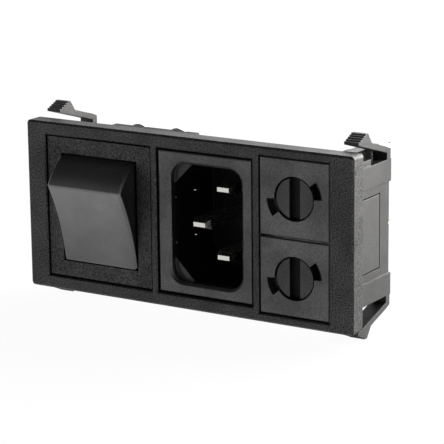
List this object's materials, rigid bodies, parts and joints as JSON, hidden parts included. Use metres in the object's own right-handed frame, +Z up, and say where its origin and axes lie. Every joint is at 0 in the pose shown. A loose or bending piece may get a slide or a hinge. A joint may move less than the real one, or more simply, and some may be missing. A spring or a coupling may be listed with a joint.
{
  "type": "c14 panel inlet socket",
  "caption": "Snap-in panel unit: black bezel frame carrying a rocker switch, an earthed appliance inlet and bayonet fuse holders with rear blade terminals.",
  "frame": {"origin": "middle of the bezel's back face, in the plane that lies on the panel, centred on the bezel's width and height", "axes": "+X to the right and +Z up for someone facing the panel, +Y from the front into the panel"},
  "size_m": [0.077, 0.0357, 0.041],
  "materials": {
    "frame_plastic": "fine moulded grain, black",
    "switch_plastic": "fine moulded grain, black",
    "rocker_plastic": "satin black",
    "inlet_plastic": "semi-gloss black",
    "holder_plastic": "satin black",
    "base_plastic": "plain black moulding",
    "white_plastic": "natural nylon",
    "plated_brass": "bright nickel or tin plate on brass",
    "copper_alloy": "bare copper alloy",
    "spring_steel": "plain spring wire",
    "fuse_glass": "clear"
  },
  "bodies": {
    "unit": {"bezel_frame": "frame_plastic", "end_plate_left": "frame_plastic", "end_plate_right": "frame_plastic", "switch_housing": "switch_plastic", "switch_base": "base_plastic", "switched_terminal_left": "plated_brass", "common_terminal_left": "plated_brass", "switched_terminal_right": "plated_brass", "common_terminal_right": "plated_brass", "inlet_housing": "inlet_plastic", "inlet_base": "base_plastic", "live_pin": "plated_brass", "neutral_pin": "plated_brass", "earth_pin": "plated_brass", "earth_strap": "plated_brass", "fuse_body_upper": "holder_plastic", "fuse_spring_upper": "spring_steel", "fuse_side_tag_upper": "plated_brass", "fuse_rear_tag_upper": "plated_brass", "fuse_body_lower": "holder_plastic", "fuse_spring_lower": "spring_steel", "fuse_side_tag_lower": "plated_brass", "fuse_rear_tag_lower": "plated_brass"},
    "rocker_group": {"rocker": "rocker_plastic", "plunger_left": "white_plastic", "plunger_right": "white_plastic", "plunger_spring_left": "spring_steel", "plunger_spring_right": "spring_steel"},
    "contact_left": {"contact_arm_left": "copper_alloy"},
    "contact_right": {"contact_arm_right": "copper_alloy"},
    "fuse_upper": {"fuse_glass_upper": "fuse_glass", "fuse_end_front_upper": "plated_brass", "fuse_end_rear_upper": "plated_brass", "fuse_wire_upper": "copper_alloy"},
    "cap_upper": {"fuse_cap_upper": "holder_plastic"},
    "fuse_lower": {"fuse_glass_lower": "fuse_glass", "fuse_end_front_lower": "plated_brass", "fuse_end_rear_lower": "plated_brass", "fuse_wire_lower": "copper_alloy"},
    "cap_lower": {"fuse_cap_lower": "holder_plastic"}
  },
  "joints": [
    {"name": "rocker_tilt", "type": "hinge", "parent": "unit", "child": "rocker_group", "pos_m": [-0.0208, 0.0016, 0], "axis": [1, 0, 0], "range_deg": [-37, 0]},
    {"name": "contact_left_rock", "type": "hinge", "parent": "unit", "child": "contact_left", "pos_m": [-0.0257, 0.01177, 0], "axis": [1, 0, 0], "range_deg": [0, 12]},
    {"name": "contact_right_rock", "type": "hinge", "parent": "unit", "child": "contact_right", "pos_m": [-0.0159, 0.01177, 0], "axis": [1, 0, 0], "range_deg": [0, 12]},
    {"name": "fuse_push_upper", "type": "slide", "parent": "unit", "child": "fuse_upper", "axis": [0, 1, 0], "range_m": [0, 0.0005], "stiffness_N_per_m": 400, "springref_m": -0.002, "deforming": ["fuse_spring_upper"]},
    {"name": "cap_turn_upper", "type": "hinge", "parent": "fuse_upper", "child": "cap_upper", "pos_m": [0.0253, -0.0025, 0.00797], "axis": [0, -1, 0], "range_deg": [0, 60]},
    {"name": "fuse_push_lower", "type": "slide", "parent": "unit", "child": "fuse_lower", "axis": [0, 1, 0], "range_m": [0, 0.0005], "stiffness_N_per_m": 400, "springref_m": -0.002, "deforming": ["fuse_spring_lower"]},
    {"name": "cap_turn_lower", "type": "hinge", "parent": "fuse_lower", "child": "cap_lower", "pos_m": [0.0253, -0.0025, -0.00797], "axis": [0, -1, 0], "range_deg": [0, 60]}
  ],
  "couplings": [
    {"joint": "contact_left_rock", "follows": "rocker_tilt", "ratio": -0.324},
    {"joint": "contact_right_rock", "follows": "rocker_tilt", "ratio": -0.324}
  ]
}
